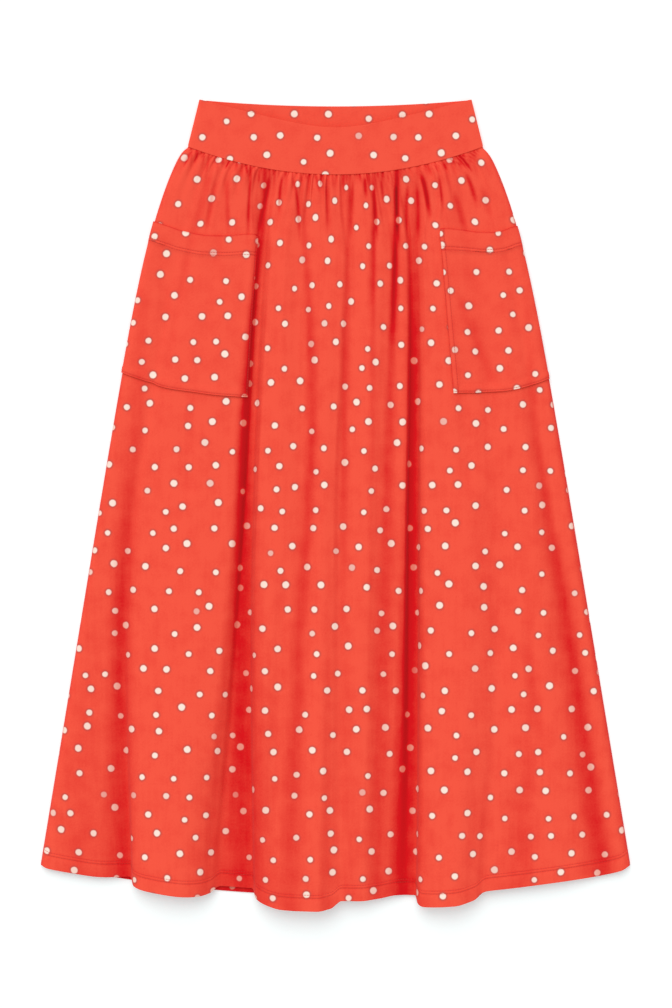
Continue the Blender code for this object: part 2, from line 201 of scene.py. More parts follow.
FULL_PAINTED_SHADE = 2  # the most that the painted shade attribute can be


def printed_jersey(name, print_shift, streak_red):
    """Red jersey with cream spots. Spots sit on a sheared lattice of cells in the cloth's own metres: the
    step to the nearest cell point is turned back to metres, and cloth nearer to it than the spot's radius is
    cream. The painted shade attribute turns both colours towards their painted shade colours, from nought
    to one, and the cloth to the darkest painted shade, from one to two. `streak_red` is how deep the red of
    the faint lines down the cloth is."""
    material = bpy.data.materials.new(name)
    material.use_nodes = True
    tree = material.node_tree
    cloth = add_node(tree, "UVMap", {}, uv_map="cloth").outputs["UV"]
    place = add_node(tree, "VectorMath", {0: cloth, 1: (*print_shift, 0)}, operation="ADD").outputs[0]
    x, y = (add_node(tree, "VectorMath", {0: place, 1: axis}, operation="DOT_PRODUCT").outputs["Value"]
            for axis in ((1 / SPOT_PITCH, -SPOT_SHIFT / SPOT_ROW, 0), (0, 1 / SPOT_ROW, 0)))
    cell = add_node(tree, "CombineXYZ", {0: x, 1: y}).outputs[0]
    spots = add_node(tree, "TexVoronoi", {"Vector": cell, "Scale": 1.0, "Randomness": SPOT_UNEVEN},
                     voronoi_dimensions="2D")
    off = add_node(tree, "VectorMath", {0: spots.outputs["Position"], 1: cell},
                   operation="SUBTRACT").outputs[0]
    x, y = (add_node(tree, "VectorMath", {0: off, 1: axis}, operation="DOT_PRODUCT").outputs["Value"]
            for axis in ((SPOT_PITCH, SPOT_SHIFT * SPOT_PITCH, 0), (0, SPOT_ROW, 0)))
    away = add_node(tree, "CombineXYZ", {0: x, 1: y}).outputs[0]
    edge = add_node(tree, "VectorMath", {0: away}, operation="LENGTH").outputs["Value"]
    ragged = add_node(tree, "TexNoise", {"Vector": cloth, "Scale": 1 / SPOT_RADIUS, "Detail": 1.0})
    chance = add_node(tree, "SeparateColor", {0: spots.outputs["Color"]})
    for noise, most in ((ragged.outputs["Fac"], 2 * SPOT_RAGGED), (chance.outputs["Green"], SPOT_SMALLER)):
        edge = add_node(tree, "Math", {0: noise, 1: most, 2: edge}, operation="MULTIPLY_ADD").outputs[0]
    thin_ink = add_node(tree, "MapRange", {"Value": chance.outputs["Red"], "From Min": FULL_INK,
                                           "To Min": 1.0, "To Max": THIN_INK}).outputs["Result"]
    radius = SPOT_RADIUS + SPOT_RAGGED
    inks = []
    for outside, inside in ((SPOT_RING_REACH, 0), (SPOT_EDGE, SPOT_EDGE)):
        ink = add_node(tree, "MapRange", {"Value": edge, "From Min": radius + outside,
                                          "From Max": radius - inside}, interpolation_type="SMOOTHSTEP")
        inks.append(add_node(tree, "Math", {0: ink.outputs["Result"], 1: thin_ink},
                             operation="MULTIPLY").outputs[0])
    ring, spot = inks

    # The painted shade of the folds, creases and seams, carried on the mesh.
    depth = add_node(tree, "Attribute", {}, attribute_name="painted_fold_shade").outputs["Fac"]
    mottle = add_node(tree, "TexNoise", {"Vector": cloth, "Scale": 1 / MOTTLE, "Detail": 3.0})
    even = (FLECK_RED + streak_red) / 2  # taken off again, so that the noise leaves the mean as it was
    clouds = add_node(tree, "MapRange", {
        "Value": mottle.outputs["Fac"], "From Min": MOTTLE_NOISE[0], "From Max": MOTTLE_NOISE[1],
        "To Min": MOTTLE_RED[0] - even, "To Max": MOTTLE_RED[1] - even}).outputs["Result"]
    flecks = add_node(tree, "TexNoise", {"Vector": cloth, "Scale": 1 / FLECK, "Detail": 2.0})
    stretched = add_node(tree, "VectorMath", {0: cloth, 1: (1 / STREAK[0], 1 / STREAK[1], 1)},
                         operation="MULTIPLY").outputs[0]
    streaks = add_node(tree, "TexNoise", {"Vector": stretched, "Scale": 1.0, "Detail": 2.0})
    for noise, most in ((flecks, FLECK_RED), (streaks, streak_red)):
        clouds = add_node(tree, "Math", {0: noise.outputs["Fac"], 1: most, 2: clouds},
                          operation="MULTIPLY_ADD").outputs[0]
    # The painted shade, with random mottle, flecks and streaks on it, gives the share of the painted shade
    # red; from one to two it gives the share of the darkest painted shade.
    dyed, darkest = (add_node(tree, "Math", {0: depth, 1: added}, operation="ADD", use_clamp=True).outputs[0]
                     for added in (clouds, -1.0))
    # Lit and painted-shade copies of the cloth, the spots' rings and the spots; then the darkest painted
    # shade, the rings and the spots are laid on.
    pairs = ((dyed, CLOTH_LIT, CLOTH_PAINTED_SHADE), (depth, SPOT_RING, CLOTH_PAINTED_SHADE), (depth, SPOT_LIT, SPOT_PAINTED_SHADE))
    printed, shaded_ring_colour, cream = (
        add_node(tree, "Mix", {0: share, 6: lit, 7: deep}, data_type="RGBA").outputs[2]
        for share, lit, deep in pairs)
    for share, colour in ((darkest, CLOTH_PAINTED_DARKEST), (ring, shaded_ring_colour), (spot, cream)):
        printed = add_node(tree, "Mix", {0: share, 6: printed, 7: colour}, data_type="RGBA").outputs[2]

    wales = add_node(tree, "TexWave", {"Vector": cloth, "Scale": WAVE_PITCH / WALE, **WALE_WANDER},
                     wave_type="BANDS", bands_direction="X")
    knit = add_node(tree, "Bump", {"Height": wales.outputs["Fac"], "Strength": WALE_STRENGTH,
                                   "Distance": WALE_HEIGHT})
    set_sockets(tree, tree.nodes["Principled BSDF"], {
        "Base Color": printed, "Normal": knit.outputs["Normal"], "Roughness": JERSEY_ROUGHNESS,
        "Specular IOR Level": JERSEY_GLOSS, "Sheen Weight": DOWN_WEIGHT, "Sheen Roughness": DOWN_ROUGHNESS})
    return material


front_jersey = printed_jersey("printed_jersey_front", (0.011, 0.004), STREAK_RED)

# Front panel: one width of jersey, gathered into the waist seam and let go in three long flutes that grow to
# the hem, with air under them. Its valleys lie on the back panel, and its hem is turned up and twin-needled.
CLOTH = 1.2 * MM
SHELL = 1.1 * MM  # the shell that shows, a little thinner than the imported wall, from the same outer face
BAND_CLOTH = 2.0 * MM
TURNED_CLOTH = 1.8 * MM
SEAM_GAP = 0.3 * MM
SEWN_IN = 0.4 * MM  # how far the panel's edge runs in under the face of the band
BAND_HEIGHT = 57.0 * MM
HEM_HALF = 356.0 * MM
SIDE_LENGTH = 865.0 * MM
HEM_CORNER = BAND_HEIGHT + SIDE_LENGTH
FLARE = 0.1655
HIP_DEFICIT = 30.0 * MM
HIP_FADE = 82.0 * MM
TUCK = 5.0 * MM
TUCK_FADE = 5.0 * MM
SEAM_EDGE = 1.2 * MM
FRONT_SEAM_DIP = 34.2 * MM
HEM_DIP = 38.7 * MM
TOP_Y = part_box("waistband_back")[1][1]
BAND_FOOT_HALF = 177.8 * MM

# Front band, from the side to the middle: place as a share of the half width, height of the outer face in mm.
BAND_SECTION = ((1.000, 2.4), (0.978, 4.3), (0.900, 5.0), (0.550, 6.8), (0.000, 8.0))

FRONT_GATHERS = 42
GATHER_HEIGHT = (1.5 * MM, 2.8 * MM)
GATHER_LENGTH = (16.0 * MM, 55.0 * MM)
GATHER_SHARPNESS = 0.9  # the gathers are sharp at the seam
GATHERS_ROUND = 18.0 * MM  # and grow round over this length
DEEP_FOLD_GATHER_LENGTH = 14.0 * MM
DEEP_FOLDS = ((10, 13), (29, 32))
GATHER_SEED = 7
PINCH_SEED = 8
RIPPLE_SEED = 9
STRAY_SEED = 10
GATHER_CROWDING = 0.12
GATHER_JITTER = 0.32  # how far a crease strays from even spacing, in gathers
JITTERED_GATHERS = 18  # to each side of the middle
SIDE_FOOT = -0.2 * MM  # the side edge rests on the back panel
SIDE_WALL = 2.0 * MM
SEAM_RISE = 0.975
SEAM_WAVE = 0.45
CREASED_IN_SEAM = 0.25  # the creases between the gathers keep this share of their depth in the seam itself
# painted shade in the waist seam, just under the band
IN_SEAM_PAINTED_SHADE = 0.05
IN_SEAM_REACH = 1.5 * MM
PUFF_LENGTH = 5.0 * MM
SINK_LENGTH = 20.0 * MM
ROW_TILT = 3.6 * MM
FIRST_GATHER = 2
LAST_GATHER = 40
SIDE_ROLL = 0.960  # where the last gather ends, as a share of the half width
# Shares of the way down the side, and how far the cloth there has settled from its gathers into the folds.
SETTLING = ((0, 0.03, 0.115), (0, 0.1, 1))

# Long folds, left to right, each near the waist, half way down and at the hem: x as a share of the half
# width, height in mm over cloth that lies flat, and how far the hem hangs out below the back's, in mm.
FOLD_LEVELS = (0.073, 0.493, 1.0)
FOLDS = (
    # name, gather, x waist, middle, hem, height waist, middle, hem, drop
    ("left seam", 0, -1.000, -1.000, -1.000, -1.4, -1.4, -1.4, 1.5),
    ("left side wall", 1, -0.995, -0.996, -0.996, 1.4, 1.4, 2.0, 1.5),
    ("left side roll", 2, -0.960, -0.972, -0.970, 3.8, 3.8, 5.5, 3.5),
    ("left field", 3, -0.900, -0.905, -0.820, 4.0, 4.5, 6.5, 2.0),
    ("left hollow", 4, -0.850, -0.862, -0.698, 4.0, 3.4, 0.9, -4.0),
    ("flute 1 left lip", 5, -0.790, -0.830, -0.682, 5.0, 6.5, 11.0, 4.5),
    ("flute 1 left shoulder", 6, -0.720, -0.760, -0.650, 6.0, 9.0, 18.0, 7.0),
    ("flute 1 crest", 8, -0.570, -0.570, -0.535, 6.5, 11.0, 22.0, 8.5),
    ("flute 1 right shoulder", 9, -0.462, -0.450, -0.470, 7.5, 10.5, 17.5, 7.0),
    ("flute 1 right lip", 10, -0.430, -0.406, -0.428, 5.5, 6.0, 9.0, 3.0),
    ("left valley left foot", 11, -0.410, -0.385, -0.385, 2.5, 0.8, 1.2, -6.0),
    ("left valley right foot", 12, -0.390, -0.360, -0.285, 2.5, 0.8, 0.8, -6.0),
    ("flute 2 left lip", 13, -0.366, -0.344, -0.268, 6.0, 7.5, 11.5, 4.5),
    ("flute 2 left shoulder", 14, -0.345, -0.330, -0.238, 8.0, 12.0, 19.5, 9.5),
    ("flute 2 left crest", 15, -0.285, -0.250, -0.185, 8.5, 14.5, 23.5, 14.0),
    ("flute 2 crease", 17, -0.190, -0.135, -0.125, 6.0, 11.0, 23.0, 15.0),
    ("flute 2 right crest", 19, -0.065, -0.060, -0.065, 8.5, 14.0, 24.0, 15.0),
    ("flute 2 right lip", 21, 0.045, -0.012, -0.016, 7.5, 12.0, 17.5, 12.5),
    ("flute 2 right foot", 22, 0.085, 0.020, 0.020, 5.0, 9.0, 14.5, 4.0),
    ("middle swell", 25, 0.215, 0.130, 0.085, 8.0, 11.0, 14.0, 4.5),
    ("middle crease", 28, 0.350, 0.216, 0.150, 3.6, 6.5, 8.0, 3.0),
    ("small swell", 29, 0.390, 0.292, 0.202, 7.0, 8.5, 5.0, 0.5),
    ("right valley left foot", 30, 0.420, 0.315, 0.246, 4.5, 0.8, 0.8, 1.5),
    ("right valley right foot", 31, 0.440, 0.346, 0.270, 4.5, 0.8, 1.0, 2.5),
    ("flute 3 left lip", 32, 0.464, 0.363, 0.277, 6.0, 8.0, 11.5, 10.0),
    ("flute 3 left shoulder", 33, 0.495, 0.388, 0.294, 8.0, 12.0, 18.5, 13.5),
    ("flute 3 crest", 35, 0.573, 0.530, 0.400, 8.5, 13.0, 22.5, 15.0),
    ("flute 3 slope", 36, 0.660, 0.620, 0.465, 7.0, 10.5, 15.5, 11.5),
    ("right hollow", 37, 0.760, 0.710, 0.515, 5.5, 7.0, 10.5, 3.0),
    ("right swell", 38, 0.860, 0.830, 0.730, 6.0, 8.5, 10.5, 4.0),
    ("right side hollow", 39, 0.925, 0.910, 0.900, 3.5, 3.0, 4.0, 6.5),
    ("right side roll", 40, 0.960, 0.970, 0.965, 3.8, 4.5, 6.0, 5.5),
    ("right side wall", 41, 0.995, 0.996, 0.996, 1.4, 1.4, 2.0, 2.0),
    ("right seam", 42, 1.000, 1.000, 1.000, -1.4, -1.4, -1.4, 2.0),
)

# Painted shade in the folds, as a deeper red: bands that run down the front, each given at four places down
# it. At each: mm from the middle, reach to the left and to the right in mm, and how deep the painted shade is.
VALLEY_LEVELS = (121.0, 363.0, 653.0, 949.0)  # mm down
VALLEY_PAINTED_SHADES = (
    ("left valley", (-85, 4, 4, 0.9), (-108, 6.5, 9, 1.1), (-116, 10, 21, 0.95), (-112, 33, 31, 0.75)),
    ("right valley", (95, 9.7, 9.7, 0.25), (93, 7, 9, 1.15), (89, 12, 14, 1.1), (80, 18, 20, 0.95)),
    ("left hollow", (-224, 7.3, 7.3, 0), (-237, 11, 8, 0.3), (-259, 13, 13, 0.75), (-255, 24, 13, 0.75)),
    ("flute 2 crease", (-40, 3.6, 3.6, 0.3), (-28, 7.3, 7.3, 0.55), (-43, 9, 9, 0.5), (-55, 16, 14, 0.4)),
    ("flute 2 foot", (17, 3.6, 3.6, 0.4), (10, 4, 6, 0.5), (8, 5, 8, 0.2), (16, 10, 24, 0.15)),
    ("centre line", (47, 3.2, 3.2, 0.6), (44, 3.6, 3.6, 0.25), (42, 3.6, 3.6, 0.1), (42, 3.6, 3.6, 0)),
    ("middle crease", (74, 3.4, 3.4, 1.2), (66, 6, 6, 0.55), (57, 10, 13, 0.5), (52, 14.5, 14.5, 0.4)),
    ("right side", (223, 4.8, 4.8, 0), (238, 6, 4.8, 0.3), (283, 13, 9, 0.75), (326, 20, 12, 0.75)),
    ("lower right", (199, 6, 6, 0), (205, 6, 6, 0), (233, 7.3, 6, 0.12), (222, 20, 17, 0.35)),
    ("left corner", (-284, 12.1, 12.1, 0), (-284, 12.1, 12.1, 0), (-297, 24.2, 24.2, 0.1),
     (-303, 36.3, 30.2, 0.3)),
)

# Pulls at the pockets' inner corners, which lift the rows of cloth there.
CORNER_LIFTS = (
    # share across, mm down, lift in mm, reach across (share), reach down in mm
    (-0.430, 93.0, 11.0, 0.20, 55.0),
    (0.560, 93.0, 17.0, 0.24, 60.0),
    (0.545, 276.0, 7.5, 0.16, 60.0),
)

# Lesser creases, each a soft trough along a line, in mm from the middle and down from the band's corners: its
# start, its end, half its width, its height, how deep the painted shade in it is.
CREASES = (
    ("right pocket, diagonal", 144.7, 229.7, 195.5, 350.6, 6.0, -2.2, 0.30),
    ("middle crease, upper", 74.5, 170.0, 70.5, 285.0, 3.6, -1.4, 0.40),
    ("between the flutes", 46.0, 150.0, 44.4, 247.8, 3.6, -1.6, 0.35),
    ("left pocket, long", -209.5, 165.0, -205.0, 300.0, 8.0, -1.2, 0.10),
    ("below the left pocket", -181.0, 390.0, -174.0, 480.0, 12.0, -1.0, 0.05),
    ("lower right, long", 230.5, 640.0, 250.0, 800.0, 7.0, -1.8, 0.20),
    ("lower right, at the hem", 211.0, 830.0, 229.0, 925.0, 13.0, -2.0, 0.10),
    ("lower left, at the hem", -150.0, 800.0, -158.0, 930.0, 16.0, -2.0, 0.05),
    ("flute 2, lower", -62.0, 560.0, -78.0, 940.0, 9.0, -1.6, 0.10),
    ("right pocket, middle", 152.0, 300.0, 160.0, 470.0, 10.0, -1.2, 0.08),
    ("right field", 178.0, 480.0, 192.0, 700.0, 14.0, -1.4, 0.10),
)

# The deepest creases that run down from the waist seam, left to right: mm from the middle at the top, half
# way and at the foot, mm down of the top and of the foot, half width, depth, how deep the painted shade is.
SEAM_CREASES = (
    (-175.5, -178.5, -182.5, 64, 80, 1.7, 1.8, 1.00),
    (-164.5, -167.0, -171.0, 60, 77, 1.6, 1.7, 1.00),
    (-143.0, -149.0, -155.0, 92, 155, 3.0, 1.6, 0.55),
    (-126.5, -129.5, -132.0, 72, 83, 1.4, 1.9, 1.30),
    (-131.0, -130.5, -129.0, 88, 158, 3.0, 1.4, 0.50),
    (-109.0, -107.0, -105.0, 76, 92, 1.6, 1.6, 1.10),
    (-101.0, -104.0, -105.5, 80, 165, 2.0, 1.7, 0.85),
    (-91.8, -92.0, -92.3, 82, 102, 1.8, 1.4, 0.80),
    (-77.7, -86.0, -93.5, 83, 170, 3.6, 2.4, 1.30),
    (-75.0, -75.0, -74.0, 81, 93, 1.3, 1.6, 0.90),
    (-62.0, -66.5, -67.5, 86, 135, 2.0, 2.0, 0.95),
    (-52.5, -45.0, -42.7, 87, 165, 2.2, 1.8, 0.80),
    (-42.7, -41.0, -40.0, 88, 101, 1.6, 1.2, 0.60),
    (-36.6, -33.0, -30.0, 90, 103, 1.6, 1.4, 0.70),
    (-24.5, -22.0, -19.0, 88, 112, 2.0, 1.6, 0.80),
    (-16.0, -15.8, -15.5, 88, 100, 1.6, 1.4, 0.80),
    (-11.0, -9.5, -9.0, 96, 155, 2.8, 1.4, 0.55),
    (8.0, 8.2, 8.5, 90, 107, 1.8, 1.4, 0.70),
    (12.0, 12.8, 13.6, 90, 101, 1.5, 1.3, 0.70),
    (20.9, 19.5, 18.0, 90, 170, 2.2, 1.6, 0.75),
    (35.4, 36.0, 36.8, 92, 118, 2.2, 1.8, 0.90),
    (44.4, 47.5, 49.4, 90, 168, 2.3, 2.3, 1.25),
    (54.4, 56.5, 58.3, 94, 124, 2.0, 1.5, 0.70),
    (63.0, 63.5, 64.0, 90, 101, 1.5, 1.3, 0.60),
    (73.5, 73.8, 74.8, 86, 176, 3.0, 2.8, 1.70),
    (78.6, 78.6, 78.6, 84, 96, 1.5, 1.4, 0.80),
    (88.6, 85.5, 87.0, 96, 170, 2.3, 1.7, 0.85),
    (96.4, 99.5, 98.8, 94, 176, 3.0, 1.9, 0.90),
    (101.2, 109.0, 113.5, 84, 140, 2.8, 2.4, 1.35),
    (112.0, 113.5, 115.0, 80, 92, 1.5, 1.4, 0.80),
    (119.5, 121.0, 123.0, 77, 87, 1.5, 1.3, 0.80),
    (124.2, 127.0, 129.5, 90, 132, 2.2, 1.5, 0.75),
    (129.0, 131.5, 134.0, 74, 86, 1.7, 1.8, 1.10),
    (136.0, 142.5, 150.0, 73, 79, 1.6, 1.8, 1.20),
    (147.0, 155.5, 164.0, 64, 86, 1.6, 2.0, 1.40),
    (142.0, 150.5, 159.0, 65, 84, 1.4, 1.6, 1.00),
    (157.0, 164.0, 168.5, 88, 123, 2.6, 2.0, 1.00),
    (143.0, 150.5, 157.5, 108, 162, 4.5, 1.8, 0.60),
    (179.3, 183.0, 187.8, 108, 142, 4.0, 1.2, 0.35),
)
CREASE_END = 1.15  # creases end softly, a little past the last place given
CREASE_FADE_IN = 0.25
CREASE_FADE_OUT = 0.4

# Small tucks pinched into the waist seam between the gathers: how many, and the least and most of each one's
# length, half width and depth, and of how far it leans outward over its length.
TUCK_COUNT = 64
TUCK_STRAY = (0.1, 0.9)  # where each lies in its own share of the seam
TUCK_LENGTH = (7.0 * MM, 22.0 * MM)
TUCK_WIDTH = (0.9 * MM, 1.5 * MM)
TUCK_DEPTH = (1.0 * MM, 2.6 * MM)
TUCK_LEAN = (-0.12, 0.20)
TUCK_SHORTNESS = 2  # the power of an even chance, so that few of them are long
# painted shade in the deepest tucks
TUCK_PAINTED_SHADE = 1.15
TUCK_SEED = 11

# The creases between the gathers, uneven too: the least and most of each one's length, depth and painted
# shade.
PINCH_LENGTH = (8.0 * MM, 26.0 * MM)
PINCH_DEPTH = (0.0, 1.2 * MM)
PINCH_PAINTED_SHADE = (0.1, 0.7)
PINCH_NARROWNESS = 2.5
PINCH_SHORTNESS = 1.6

# Long faint ripples that run on from the gathers, down the cloth between the flutes: how many, and the least
# and most of each one's place and half width, in gathers, of its length, and of its depth, and the painted
# shade in it.
RIPPLE_COUNT = 34
RIPPLE_PLACE = (5.0, 37.0)
RIPPLE_WIDTH = (0.22, 0.55)
RIPPLE_LENGTH = (90.0 * MM, 430.0 * MM)
RIPPLE_DEPTH = (-0.7 * MM, 0.9 * MM)
RIPPLE_PAINTED_SHADE = 0.22
RIPPLE_START = 22.0 * MM

HEM_STITCH_ROWS = (15.5 * MM, 18.8 * MM)  # the twin needle, above the hem's edge
TURNING_PAST_ROWS = 1.0 * MM  # how far turned cloth goes on past its rows of stitches
TURNING_STEP = 1.5 * MM
STITCH_GROOVE = 0.35 * MM
STITCH_GROOVE_WIDTH = 0.9 * MM
# painted shade in the stitch grooves
STITCH_GROOVE_PAINTED_SHADE = 0.28
SIDE_SHADE = 0.9  # how far in from the side seams the cloth has painted shade, in gathers
# how deep the painted shade at the side seams is
SIDE_PAINTED_SHADE = 0.7
SHADE_SIDE = (0.80, -0.45, 0.0)  # away from the light
SHADE_START = 0.08
# painted shade on the sides of folds that face away from the light
FACING_AWAY_PAINTED_SHADE = 0.5
LEE_COLUMNS = 32  # how far along a row the skyline is looked for
LEE_PAINTED_SHADE = (0.60, 0.50)  # painted shade in the lee of a fold on the left, where the light comes from, and on the right
LEE_START, LEE_FULL = 0.14, 0.80  # steepness of the skyline, as a share of a right angle
LEAST_STEP = 0.1 * MM
IN_GATHERS = 31.0 * MM  # cloth drawn into the gathers of each half, beyond what their form takes
GATHERED_HALF = 80.0 * MM
GATHERED_FADE = 170.0 * MM
GATHERS_EVEN = 75.0 * MM
FRONT_COLUMNS = 9  # to each gather
FRONT_ROWS = 108
ROW_CROWDING = 1.3  # rows are closer near the waist seam
HEM_FINE_ROWS = (21.5, 20, 19.4, 18.8, 18.2, 17.2, 16.1, 15.5, 14.9, 13.5, 8, 4, 1.5)  # mm above its edge
FINE_ROWS_APART = 3.0 * MM  # the even rows end this far from them


def smooth_through(places, values, at):
    """Values at `at` on the smooth curve through (places, values) that never overshoots between two of them.

    It is a cubic between each two places. Its slope at a place is the weighted harmonic mean of the slopes of
    the two straight lines that meet there, and nought at a crest or a foot. Where `values` has more axes than
    one, each column is a curve of its own.
    """
    places = np.asarray(places, float)
    values = np.asarray(values, float)
    extra = (1,) * (values.ndim - 1)
    run = np.diff(places).reshape((-1,) + extra)
    rise = np.diff(values, axis=0) / run
    before, after = rise[:-1], rise[1:]
    same_way = before * after > 0
    near, far = 2 * run[1:] + run[:-1], run[1:] + 2 * run[:-1]
    mean = (near + far) / (near / np.where(same_way, before, 1.0) + far / np.where(same_way, after, 1.0))
    slope = np.zeros(values.shape)
    slope[1:-1] = np.where(same_way, mean, 0.0)
    slope[0], slope[-1] = rise[0], rise[-1]
    at = np.clip(at, places[0], places[-1])
    i = np.clip(np.searchsorted(places, at, side="right") - 1, 0, len(places) - 2)
    t = ((at - places[i]) / np.diff(places)[i]).reshape(at.shape + extra)
    return ((1 + 2 * t) * (1 - t) ** 2 * values[i] + t * (1 - t) ** 2 * run[i] * slope[i]
            + t * t * (3 - 2 * t) * values[i + 1] + t * t * (t - 1) * run[i] * slope[i + 1])


def half_width(down):
    """Half the flat width: a straight flare, less the hip's deficit, which fades down from the seam, less the
    tuck into the seam."""
    below_seam = np.maximum(down - BAND_HEIGHT - SEAM_EDGE, 0)
    straight = HEM_HALF - FLARE * (HEM_CORNER - down)
    return straight - HIP_DEFICIT * np.exp(-below_seam / HIP_FADE) - TUCK * np.exp(-below_seam / TUCK_FADE)


def parabola(dip, share):
    """An edge that dips by `dip` in the middle and not at the sides."""
    return dip * (1 - share ** 2)


def band_face(share):
    """Height of the front band's outer face, from the side fold (share 1 or -1) to the middle."""
    places = [1 - p for p, _ in BAND_SECTION]
    heights = [h * MM for _, h in BAND_SECTION]
    return BAND_CLOTH + SEAM_GAP + smooth_through(places, heights, 1 - np.abs(share))


def bell(away, reach):
    """One at nought, and close to nought past `reach`."""
    return np.exp(-(away / reach) ** 2)


def gather_shares(gather):
    """Place at the seam, as a share of the half width, of each place among the gathers."""
    rng = np.random.default_rng(STRAY_SEED)
    knots = np.arange(FIRST_GATHER, LAST_GATHER + 1)
    stray = rng.uniform(-GATHER_JITTER, GATHER_JITTER, len(knots))
    stray = stray * (np.abs(knots - FRONT_GATHERS / 2) < JITTERED_GATHERS)
    strayed = gather + np.interp(gather, knots, stray)
    even = np.clip(2 * (strayed - FIRST_GATHER) / (LAST_GATHER - FIRST_GATHER) - 1, -1, 1)
    crowded = even + GATHER_CROWDING * (even ** 3 - even)
    past_ends = np.maximum(FIRST_GATHER - gather, gather - LAST_GATHER)
    round_side = np.clip(past_ends, 0, FIRST_GATHER) / FIRST_GATHER
    return SIDE_ROLL * crowded + np.sign(even) * (1 - SIDE_ROLL) * (1 - (1 - round_side) ** 3)


def gather_sizes():
    """Height and length of each gather of the front, uneven as gathers are."""
    rng = np.random.default_rng(GATHER_SEED)
    heights = rng.uniform(*GATHER_HEIGHT, FRONT_GATHERS)
    lengths = rng.uniform(*GATHER_LENGTH, FRONT_GATHERS)
    heights[:FIRST_GATHER] = 0
    heights[LAST_GATHER:] = 0
    for first, last in DEEP_FOLDS:
        lengths[first:last] = DEEP_FOLD_GATHER_LENGTH
    return heights, lengths


def creased(x, down):
    """Height and painted shade of all the lesser creases at places x, down: for each, a bell across its line,
    faded out past its two ends."""
    height = np.zeros(x.shape)
    red = np.zeros(x.shape)
    for _, x0, down0, x1, down1, width, rise, deep in CREASES:
        run_x, run_down = (x1 - x0) * MM, (down1 - down0) * MM
        length = math.hypot(run_x, run_down)
        along = ((x - x0 * MM) * run_x + (down - down0 * MM) * run_down) / length
        across = ((x - x0 * MM) * run_down - (down - down0 * MM) * run_x) / length
        past = np.abs(along - length / 2) / (length / 2)
        crease = bell(across, width * MM) * np.clip(CREASE_END - past ** 4, 0, 1)
        height += rise * MM * crease
        red += deep * crease
    return height, red


def seam_creased(x, down):
    """Height and painted shade of the creases down from the seam: for each, a bell across a smooth line
    through its three places, with soft ends."""
    height = np.zeros(x.shape)
    red = np.zeros(x.shape)
    for top_x, middle_x, foot_x, top, foot, width, depth, deep in SEAM_CREASES:
        along = (down / MM - top) / (foot - top)
        line = smooth_through((0, 0.5, 1), (top_x, middle_x, foot_x), along)
        ends = np.clip(along / CREASE_FADE_IN, 0, 1) * np.clip((CREASE_END - along) / CREASE_FADE_OUT, 0, 1)
        crease = bell(x / MM - line, width) * ends
        height -= depth * MM * crease
        red = np.maximum(red, deep * crease)
    return height, red


def painted_valley_shade(x, down):
    """Painted shade in the valleys: for each band, a bell across it with its own reach to each side."""
    red = np.zeros(x.shape)
    levels = np.array(VALLEY_LEVELS) * MM
    for _, *places in VALLEY_PAINTED_SHADES:
        middle, left, right, deep = np.moveaxis(smooth_through(levels, np.array(places), down), -1, 0)
        off = x - middle * MM
        red = np.maximum(red, deep * bell(off, np.where(off < 0, left, right) * MM))
    return red


def tucks(x, below):
    """Height and painted shade of the small tucks: each a narrow bell across a leaning line that fades down.
    """
    rng = np.random.default_rng(TUCK_SEED)
    places = (np.arange(TUCK_COUNT) + rng.uniform(*TUCK_STRAY, TUCK_COUNT)) / TUCK_COUNT * 2 - 1
    lengths = np.interp(rng.uniform(0, 1, TUCK_COUNT) ** TUCK_SHORTNESS, (0, 1), TUCK_LENGTH)
    widths, depths, leans = (rng.uniform(*reach, TUCK_COUNT) for reach in (TUCK_WIDTH, TUCK_DEPTH, TUCK_LEAN))
    height = np.zeros(x.shape)
    red = np.zeros(x.shape)
    for place, length, width, depth, lean in zip(places, lengths, widths, depths, leans):
        middle = place * (BAND_FOOT_HALF - 2 * CLOTH) + np.sign(place) * lean * below
        tuck = bell(x - middle, width * (1 + below / length)) * bell(below, length)
        height -= depth * tuck
        red = np.maximum(red, TUCK_PAINTED_SHADE * depth / TUCK_DEPTH[1] * tuck)
    return height, red


def pinches(gather, below):
    """Height and painted shade of the creases between the gathers: each narrow at its knot, and fading down.
    """
    rng = np.random.default_rng(PINCH_SEED)
    count = FRONT_GATHERS + 1
    knot = np.rint(gather).astype(int)
    length = np.interp(rng.uniform(0, 1, count) ** PINCH_SHORTNESS, (0, 1), PINCH_LENGTH)[knot]
    depth, red = (rng.uniform(*reach, count)[knot] for reach in (PINCH_DEPTH, PINCH_PAINTED_SHADE))
    narrow = (1 - np.abs(np.sin(math.pi * gather))) ** PINCH_NARROWNESS
    pinch = narrow * bell(below, length) * ((knot > FIRST_GATHER) & (knot < LAST_GATHER))
    return -depth * pinch, red * pinch


def ripples(gather, below):
    """Height and painted shade of the long ripples: each a bell across the gathers, faded in below the seam
    and out down the cloth."""
    rng = np.random.default_rng(RIPPLE_SEED)
    sizes = (RIPPLE_PLACE, RIPPLE_WIDTH, RIPPLE_LENGTH, RIPPLE_DEPTH)
    height = np.zeros(np.broadcast(gather, below).shape)
    for place, width, length, depth in zip(*[rng.uniform(*size, RIPPLE_COUNT) for size in sizes]):
        height -= depth * bell(gather - place, width) * (1 - bell(below, RIPPLE_START)) * bell(below, length)
    return height, RIPPLE_PAINTED_SHADE * np.clip(-height / RIPPLE_DEPTH[1], 0, 1)


def room_to_sink(height):
    """How far a crease may sink into cloth at a height: not at all near the back panel, fully higher up."""
    return np.clip((height - 3 * CLOTH) / (2 * CLOTH), 0, 1)


def in_grooves(away, rows):
    """One in the middle of each row of stitches, and nought away from them."""
    return sum(bell(away - row, STITCH_GROOVE_WIDTH) for row in rows)


